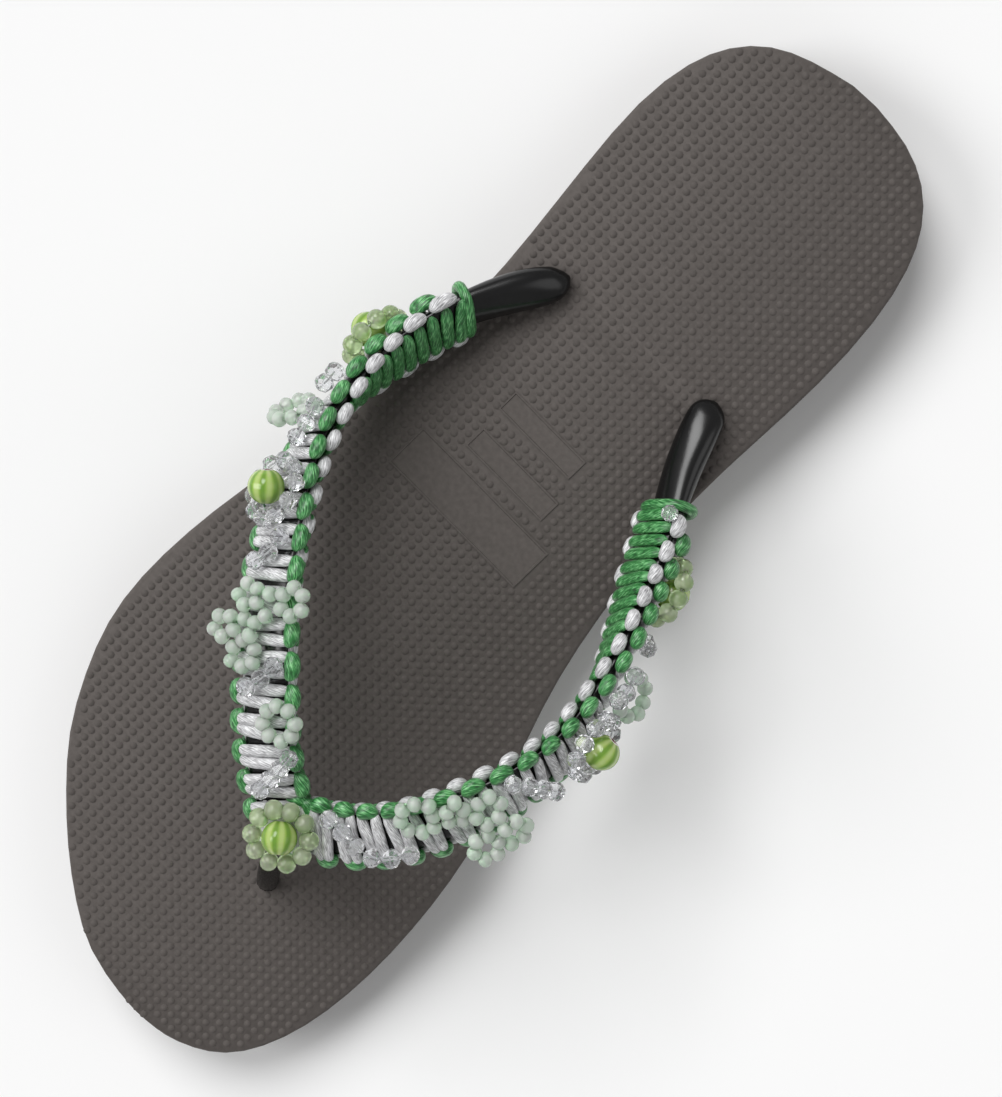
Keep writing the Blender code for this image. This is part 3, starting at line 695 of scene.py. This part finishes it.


# The thread pattern is the cords' fibre texture; its light and dark ends are painted sheen and painted shade.
silver_finish = satin("silver_satin", (0.17, 0.167, 0.175), (0.52, 0.52, 0.53), (0.92, 0.92, 0.93), 0.2)
green_finish = satin("green_satin", (0.003, 0.032, 0.006), (0.024, 0.20, 0.042), (0.26, 0.62, 0.27), 0.05)
cords = []
for arm_name, arm in ARMS.items():
    first, knot, end = KNOTS[arm_name]
    silver, green = ([], [], []), ([], [], [])
    for k in range(-1, MOST_KNOTS):
        middle = first + k * knot
        for number, share in enumerate((-0.5, 0.5)):
            s = middle + share * FRONT_PAIR * knot
            if s < end - 3.0:
                slant = FRONT_SLANT[number] + float(wobble.uniform(-0.2, 0.2))
                half_wide = FRONT_BAR * knot + float(wobble.uniform(-0.06, 0.08))
                bar(arm, s, 1, half_wide, FRONT_REACH, slant, silver)
            s = middle + 0.5 * knot + share * BACK_PAIR * knot
            if -2.0 < s < end - 2.0:
                bar(arm, s, -1, BACK_BAR * knot, BACK_REACH, float(np.interp(s, *BACK_SLANT[arm_name])), green)
        for side_sign in (-1, 1):
            if k >= 0 and middle < end - 0.4 * knot:
                green_loop(arm, middle, side_sign, FRONT_LOOP[arm_name] * knot, green)
            if k >= 0 and middle + 0.5 * knot < end - 0.5 * knot:
                silver_loop(arm_name, middle + 0.5 * knot, side_sign, BACK_LOOP * knot, silver)
    last_turn(arm, end + LAST_TURN[arm_name], green)
    for colour, lists, paint in (("silver", silver, silver_finish), ("green", green, green_finish)):
        piece = make_mesh(f"{colour}_cord_{arm_name}", lists[0], lists[1], paint, lists[2])
        turned_out(piece)
        cords.append(piece)
finish(cords[0], "satin_cord", "wrap")
for piece in cords[1:]:
    finish(piece, "satin_cord")

# ---------------------------------------------------------------- mint loops
# Milky mint seed beads are strung in small loops and sewn on with clear thread. In the two clusters the loops
# share a bead where they meet. The bead is turned once, with its thread hole, and copied.
SEED = 3.35
SEED_SPACING = 2.8  # from one bead of a loop to the next
CUT_AT = 0.93  # a bead is cut flat at this share of its half length
HOLE_DEEP, HOLE_TAPER = 0.25, 0.8  # in bead diameters, and how much narrower the hole is inside
THREAD_RADIUS = 0.2
THREAD_SIDES = 6
SHARED = 0.6  # closer than this share of their spacing, two beads are one
IN_ROW, SIDE_BY_SIDE = 0.98, 1.1  # room between beads of one loop and of two, as a share of their spacing
EASINGS = 80
MINT_LOOPS = {
    # arm, s, w and n of the loop's middle, beads, beads to a full turn, first angle, lean and tip in degrees
    "mint_loop_front_outer": (("outer", 25.0, -5.2, 4.4, 8, 8, 7, 0, 0),),
    "mint_cluster_outer": (
        ("outer", 37.8, 3.0, 4.5, 6, 6, 0, 0, 0),
        ("outer", 42.7, 6.8, 5.6, 5, 5, -36, 0, 0),
        ("outer", 48.6, 1.1, 5.6, 5, 5, 17, 0, 0),
        ("outer", 47.9, -9.0, 4.5, 6, 6, 0, 0, 0),
        ("outer", 47.0, -4.0, 5.2, 5, 5, -60, 0, 0),
        ("outer", 42.5, 2.4, 5.0, 5, 5, 0, 0, 0),
    ),
    "mint_loop_rear_outer": (("outer", 86.0, 1.5, 7.0, 9, 9, 0, -28, 20),),
    "mint_cluster_inner": (
        ("inner", 32.4, -6.4, 4.7, 8, 8, 10, 0, 0),
        ("inner", 39.1, -5.2, 4.9, 5, 5, 0, 0, 0),
        ("inner", 44.3, -3.2, 5.6, 6, 6, 0, 0, 25),
        ("inner", 41.1, 4.8, 7.0, 6, 6, 0, 0, 10),
        ("inner", 46.6, 3.3, 7.7, 6, 6, 0, 0, 0),
    ),
    "mint_loop_rear_inner": (("inner", 80.2, 1.0, 6.6, 7, 9, -40, 0, 40),),
}


def turned_bead(name, diameter, segments, rings, hole, squat, smooth, paint):
    """A bead with a hole along its own Z: a ball, cut flat at both ends and drawn in."""
    bpy.ops.mesh.primitive_uv_sphere_add(segments=segments, ring_count=rings, radius=diameter / 2 * MM)
    made = bpy.context.active_object
    made.name = name
    made.scale = (1, 1, squat)
    bpy.ops.object.transform_apply(location=False, rotation=False, scale=True)
    cut = diameter / 2 * squat * CUT_AT * MM
    bpy.ops.object.mode_set(mode="EDIT")
    for sign in (1, -1):
        bpy.ops.mesh.select_all(action="SELECT")
        bpy.ops.mesh.bisect(
            plane_co=(0, 0, sign * cut), plane_no=(0, 0, sign), use_fill=True, clear_outer=True, threshold=1e-7
        )
        bpy.ops.mesh.inset(thickness=0.0001 * MM, depth=0)
        bpy.ops.transform.resize(value=(hole, hole, 1))
        deep = -sign * HOLE_DEEP * diameter * MM
        bpy.ops.mesh.extrude_region_move(TRANSFORM_OT_translate={"value": (0, 0, deep)})
        bpy.ops.transform.resize(value=(HOLE_TAPER, HOLE_TAPER, 1))
    bpy.ops.mesh.select_all(action="SELECT")
    bpy.ops.mesh.remove_doubles(threshold=0.00001 * MM)
    bpy.ops.mesh.normals_make_consistent(inside=False)
    bpy.ops.object.mode_set(mode="OBJECT")
    if smooth:
        bpy.ops.object.shade_smooth_by_angle(angle=math.radians(50))
    else:
        bpy.ops.object.shade_flat()
    made.data.materials.append(paint)
    made.select_set(False)
    return made


def glass(name, colour, roughness, clear, ior, milky=0.0):
    """Glass, from clear to milky."""
    made, tree, shader = new_finish(name, colour, roughness, 0.5)
    shader.inputs["Transmission Weight"].default_value = clear
    shader.inputs["IOR"].default_value = ior
    shader.inputs["Subsurface Weight"].default_value = milky
    shader.inputs["Subsurface Radius"].default_value = (0.0015, 0.0018, 0.0015)
    shader.inputs["Subsurface Scale"].default_value = 3.0
    return made, tree, shader


def set_bead(bead, centre, axis, spin=0.0, size=1.0):
    """A copy of a bead, its hole along axis."""
    copy = bead.copy()
    copy.data = bead.data.copy()
    scene.collection.objects.link(copy)
    turn = Vector(axis).to_track_quat("Z", "Y").to_matrix() @ Matrix.Rotation(spin, 3, "Z")
    copy.data.transform(Matrix.Translation(Vector(centre) * MM) @ turn.to_4x4() @ Matrix.Scale(size, 4))
    return copy


def thread(centres, looped, lists):
    """The clear thread through a row of beads."""
    line = np.asarray(centres, float)
    rings = []
    for i, centre in enumerate(line):
        before, after = (i - 1, (i + 1) % len(line)) if looped else (max(i - 1, 0), min(i + 1, len(line) - 1))
        tangent = line[after] - line[before]
        tangent /= np.linalg.norm(tangent)
        side = np.cross(tangent, (0.3, 0.2, 0.93))
        side /= np.linalg.norm(side)
        up = np.cross(side, tangent)
        turns = np.arange(THREAD_SIDES) * 2 * math.pi / THREAD_SIDES
        rings.append([centre + THREAD_RADIUS * (math.cos(a) * side + math.sin(a) * up) for a in turns])
    skin(rings, *lists, endless=looped)


def bead_piece(name, slot_name, beads, rows, *nodes):
    """Joins copies of beads and their threads into one piece."""
    lists = ([], [], [])
    for centres, looped in rows:
        thread(centres, looped, lists)
    copies = list(beads)
    if rows:
        copies.append(make_mesh(name + "_thread", lists[0], lists[1], thread_finish, lists[2]))
        turned_out(copies[-1])
    bpy.ops.object.select_all(action="DESELECT")
    for copy in copies:
        copy.select_set(True)
    bpy.context.view_layer.objects.active = copies[0]
    if len(copies) > 1:
        bpy.ops.object.join()
    piece = bpy.context.view_layer.objects.active
    piece.name = name
    finish(piece, slot_name, *nodes)


def ring_of(centre, first, second, beads, per_turn, start, spacing):
    """Centres and directions of touching beads round a circle."""
    radius = spacing / (2 * math.sin(math.pi / per_turn))
    rows = []
    for number in range(beads):
        angle = math.radians(start) + 2 * math.pi * number / per_turn
        place = centre + radius * (math.cos(angle) * first + math.sin(angle) * second)
        rows.append((place, math.cos(angle) * second - math.sin(angle) * first))
    return rows


def eased_apart(centres, outs, loops, in_row, side_by_side):
    """Moves crowded beads apart, never deeper than they lay, until none lies inside another."""
    centres, outs = np.array(centres), np.array(outs)
    levels = (centres * outs).sum(axis=1)
    for _ in range(EASINGS):
        for i in range(len(centres)):
            for j in range(i):
                apart = in_row if any(i in loop and j in loop for loop, _ in loops) else side_by_side
                gap = centres[i] - centres[j]
                push = max(0.0, apart - np.linalg.norm(gap)) / 2 * gap / np.linalg.norm(gap)
                centres[i] += push
                centres[j] -= push
        sunk = np.maximum(0.0, levels - (centres * outs).sum(axis=1))
        centres += sunk[:, None] * outs
    return centres


def sewn_loops(name, rows, bead, slot_name, spacing):
    """One piece of beads strung in loops and rings on an arm."""
    centres, axes, outs, loops = [], [], [], []
    for arm_name, s, w, n, count, per_turn, start, lean, tip in rows:
        middle, along, across, out = ARMS[arm_name].section(s)
        lean, tip = math.radians(lean), math.radians(tip)
        first = math.cos(lean) * along + math.sin(lean) * out
        second = math.cos(tip) * across + math.sin(tip) * out
        second -= second.dot(first) * first
        second /= np.linalg.norm(second)
        loop_middle, loop = middle + w * across + n * out, []
        for centre, axis in ring_of(loop_middle, first, second, count, per_turn, start, spacing):
            centre = centre + wobble.uniform(-0.14, 0.14, 3)
            shared = [i for i, other in enumerate(centres) if np.linalg.norm(centre - other) < SHARED * spacing]
            if not shared:
                centres.append(centre)
                axes.append(axis)
                outs.append(out)
                loop.append(len(centres) - 1)
            elif shared[0] not in loop:
                loop.append(shared[0])
        loops.append((loop, count == per_turn))
    centres = eased_apart(centres, outs, loops, IN_ROW * spacing, SIDE_BY_SIDE * spacing)
    beads = [
        set_bead(bead, centre, axis, float(wobble.uniform(0, 3)), float(wobble.uniform(0.97, 1.03)))
        for centre, axis in zip(centres, axes)
    ]
    bead_piece(name + "_beads", slot_name, beads, [(centres[loop], looped) for loop, looped in loops], name)


thread_finish, tree, shader = glass("clear_thread", (0.85, 0.86, 0.86), 0.2, 0.6, 1.45)
mottle(tree, shader, 300, 1, (0.3, (0.78, 0.80, 0.80)), (0.7, (0.92, 0.93, 0.93)))
mint_finish, tree, shader = glass("milky_mint_glass", (0.72, 0.92, 0.73), 0.14, 0.5, 1.42, 1.0)
mottle(tree, shader, 260, 2, (0.35, (0.66, 0.94, 0.67)), (0.65, (0.84, 1.0, 0.82)))
seed_bead = turned_bead("seed_bead", SEED, 14, 9, 0.75, 0.92, True, mint_finish)
for name, rows in MINT_LOOPS.items():
    sewn_loops(name, rows, seed_bead, "mint_glass", SEED_SPACING)
bpy.data.objects.remove(seed_bead, do_unlink=True)

# ---------------------------------------------------------------- petal rings
# Lime petal beads of clear green glass are strung in rings of ten and sewn on near the cover's rear ends. The
# same bead makes the flower at the toe.
PETAL = 4.2
PETAL_SPACING = 3.8
PETAL_RINGS = {
    "petals_rear_outer": (("outer", 107.3, 0.0, 5.8, 10, 10, 0, 0, 0),),
    "petals_rear_inner": (("inner", 103.8, 0.2, 6.2, 10, 10, 0, 0, 0),),
}
petal_finish, tree, shader = glass("lime_petal_glass", (0.60, 0.76, 0.44), 0.1, 0.72, 1.45, 1.0)
mottle(tree, shader, 190, 2, (0.35, (0.52, 0.70, 0.36)), (0.65, (0.72, 0.86, 0.56)))
petal_bead = turned_bead("petal_bead", PETAL, 16, 10, 0.7, 0.93, True, petal_finish)
for name, rows in PETAL_RINGS.items():
    sewn_loops(name, rows, petal_bead, "petal_glass", PETAL_SPACING)

# ---------------------------------------------------------------- crystals
# Crystal beads with cut flat facets are sewn on with clear thread, in rings of ten round two of the melon beads
# and in short strings slantwise across the cover. One more sits by the inner arm's closing turn.
CRYSTAL = 4.15
CRYSTAL_SPACING = 3.9
CRYSTAL_RINGS = {
    "crystal_ring_outer": (("outer", 69.8, -0.6, 5.3, 10, 10, -7, 0, 0),),
    "crystal_ring_inner": (("inner", 67.6, 0.0, 5.3, 10, 10, 0, 0, 0),),
}
STRINGS = {
    # arm, then s, w and n of each crystal
    "crystals_front_outer": (
        "outer",
        ((10.8, 0.9, 4.9), (13.2, -2.0, 4.9), (15.7, -4.7, 4.9), (18.2, -7.2, 5.0)),
    ),
    "crystals_middle_outer": ("outer", ((31.4, 2.0, 4.9), (33.3, -1.5, 4.9), (35.8, -4.5, 4.9))),
    "crystals_lower_outer": ("outer", ((55.4, 1.4, 4.9), (57.2, -2.0, 4.9), (60.2, -4.4, 4.9))),
    "crystals_upper_outer": ("outer", ((80.8, -2.8, 4.9), (83.6, -5.4, 5.0), (87.2, -6.4, 5.0))),
    "crystals_rear_outer": ("outer", ((93.2, -2.4, 5.2), (96.6, -1.0, 5.2))),
    "crystals_front_inner": (
        "inner",
        (
            (12.8, -6.2, 4.9),
            (15.6, -3.6, 4.9),
            (17.8, -0.5, 4.9),
            (20.4, 2.3, 4.9),
            (24.1, 2.7, 4.9),
            (27.8, 2.4, 4.9),
        ),
    ),
    "crystals_middle_inner": (
        "inner",
        ((50.2, -6.6, 4.9), (52.8, -3.6, 4.9), (55.0, -0.4, 4.9), (57.2, 2.9, 4.9)),
    ),
    "crystals_upper_inner": ("inner", ((76.8, -5.4, 5.0), (79.4, -2.9, 5.2), (82.8, -5.0, 5.1))),
    "crystals_rear_inner": ("inner", ((90.0, -2.0, 5.3), (92.0, 1.4, 5.3))),
}
LAST_CRYSTAL = (117.3, -7.2, -5.3)  # its s, w and n on the inner arm
crystal_finish, tree, shader = glass("cut_crystal", (0.97, 0.97, 1.0), 0.0, 0.9, 1.5)
mottle(tree, shader, 400, 1, (0.3, (0.90, 0.91, 0.95)), (0.7, (1.0, 1.0, 1.0)))
crystal_bead = turned_bead("crystal_bead", CRYSTAL, 8, 6, 0.5, 0.92, False, crystal_finish)
for name, rows in CRYSTAL_RINGS.items():
    sewn_loops(name, rows, crystal_bead, "clear_crystal", CRYSTAL_SPACING)
for name, (arm_name, places) in STRINGS.items():
    centres = [ARMS[arm_name].at(*place) for place in places]
    beads = []
    for i, centre in enumerate(centres):
        axis = centres[min(i + 1, len(centres) - 1)] - centres[max(i - 1, 0)]
        spin = float(wobble.uniform(0, 3))
        beads.append(set_bead(crystal_bead, centre, axis, spin, float(wobble.uniform(0.97, 1.03))))
    bead_piece(name + "_beads", "clear_crystal", beads, [(centres, False)], name)
last_crystal = [set_bead(crystal_bead, ARMS["inner"].at(*LAST_CRYSTAL), (0.3, -0.4, 0.8), 0.4, 0.9)]
bead_piece("crystal_cover_end_inner", "clear_crystal", last_crystal, [])
bpy.data.objects.remove(crystal_bead, do_unlink=True)

# ---------------------------------------------------------------- toe flower
# At the V, where the arms meet, ten lime petal beads of clear green glass lie in a ring round the toe's melon
# bead. They are strung on the clear thread, and the ring tips a little forward.
TOE_FLOWER = np.array((-4.7 - ORIGIN_X, 65.7, 33.2 + bed(65.7)))
TOE_TILT = math.radians(8.0)
TOE_ACROSS = np.array((1.0, 0.0, 0.0))
TOE_FORWARD = np.array((0.0, math.cos(TOE_TILT), -math.sin(TOE_TILT)))
TOE_SPACING = 3.65
places = ring_of(TOE_FLOWER, TOE_ACROSS, TOE_FORWARD, 10, 10, 0, TOE_SPACING)
beads = []
for centre, axis in places:
    centre = centre + wobble.uniform(-0.12, 0.12, 3)
    beads.append(set_bead(petal_bead, centre, axis, 0.0, float(wobble.uniform(0.97, 1.04))))
bead_piece("petals_toe_beads", "petal_glass", beads, [([centre for centre, _ in places], True)], "petals_toe")
bpy.data.objects.remove(petal_bead, do_unlink=True)

# ---------------------------------------------------------------- melon beads
# The five large melon beads are fluted glass, light and dark green in stripes, with a red eye in a white core
# round the hole. They sit in the rings, hole along the arm but for the rear inner one, whose hole faces out.
MELON = 7.6
FLUTES, FLUTE_DEEP = 8, 0.045
EYE_REACH, CORE_REACH = 0.85, 1.38  # from the hole's middle, mm
STRIPES = 2.546  # stretch of the UV that gives about eight light and dark stripes in one turn
MELON_STOPS = ((0.1, (0.20, 0.36, 0.055)), (0.5, (0.37, 0.53, 0.12)), (0.95, (0.53, 0.66, 0.25)))
MELON_BEADS = {
    # arm, s, w, n and the hole's direction in (along, across, out)
    "bead_middle_outer": ("outer", 69.6, -0.4, 7.2, (0.9, -0.16, 0.4)),
    "bead_middle_inner": ("inner", 67.5, 0.2, 7.2, (0.9, -0.3, 0.3)),
    "bead_rear_outer": ("outer", 107.3, 0.0, 8.0, (0.9, 0.3, 0.2)),
    "bead_rear_inner": ("inner", 103.8, 0.2, 7.7, (0.15, 0.15, 1.0)),
}
TOE_BEAD_RISE = 0.8  # above the flower's middle, in mm
TOE_BEAD_AIM = (-0.6, 0.75, 0.28)
melon_finish, tree, shader = glass("melon_glass", (0.42, 0.60, 0.08), 0.12, 0.25, 1.5, 1.0)
where = tree.nodes.new("ShaderNodeTexCoord")
stretch = tree.nodes.new("ShaderNodeMapping")
stretch.inputs["Scale"].default_value = (STRIPES, 0.0, 1.0)
stripes = tree.nodes.new("ShaderNodeTexWave")
stripes.wave_type = "BANDS"
stripes.bands_direction = "X"
stripes.inputs["Scale"].default_value = 1.0
stripes.inputs["Distortion"].default_value = 0.0
tree.links.new(where.outputs["UV"], stretch.inputs["Vector"])
tree.links.new(stretch.outputs["Vector"], stripes.inputs["Vector"])
blend_colours(tree, stripes.outputs["Fac"], MELON_STOPS, shader)
core_finish, tree, shader = glass("white_core_glass", (0.80, 0.74, 0.70), 0.15, 0.1, 1.5)
mottle(tree, shader, 400, 1, (0.3, (0.70, 0.62, 0.58)), (0.7, (0.86, 0.82, 0.78)))
eye_finish, tree, shader = glass("red_core_glass", (0.16, 0.01, 0.012), 0.15, 0.1, 1.5)
mottle(tree, shader, 400, 1, (0.3, (0.10, 0.006, 0.008)), (0.7, (0.20, 0.015, 0.018)))
melon_bead = turned_bead("melon_bead", MELON, 48, 20, 0.5, 0.97, True, melon_finish)
melon_bead.data.materials.append(core_finish)
melon_bead.data.materials.append(eye_finish)
for face in melon_bead.data.polygons:
    spread = math.hypot(face.center.x, face.center.y) / MM
    face.material_index = 2 if spread < EYE_REACH else 1 if spread < CORE_REACH else 0
for vertex in melon_bead.data.vertices:
    around = math.atan2(vertex.co.y, vertex.co.x)
    flute = 1 - FLUTE_DEEP * (0.5 - 0.5 * math.cos(FLUTES * around)) ** 2
    vertex.co.x *= flute
    vertex.co.y *= flute
for name, (arm_name, s, w, n, aim) in MELON_BEADS.items():
    _, along, across, out = ARMS[arm_name].section(s)
    axis = aim[0] * along + aim[1] * across + aim[2] * out
    bead = set_bead(melon_bead, ARMS[arm_name].at(s, w, n), axis)
    bead_piece(name + "_glass", "striped_glass", [bead], [], name)
toe_middle = TOE_FLOWER + TOE_BEAD_RISE * np.cross(TOE_ACROSS, TOE_FORWARD)
toe_bead = set_bead(melon_bead, toe_middle, TOE_BEAD_AIM, 0.2)
bead_piece("bead_toe_glass", "striped_glass", [toe_bead], [], "bead_toe")
bpy.data.objects.remove(melon_bead, do_unlink=True)
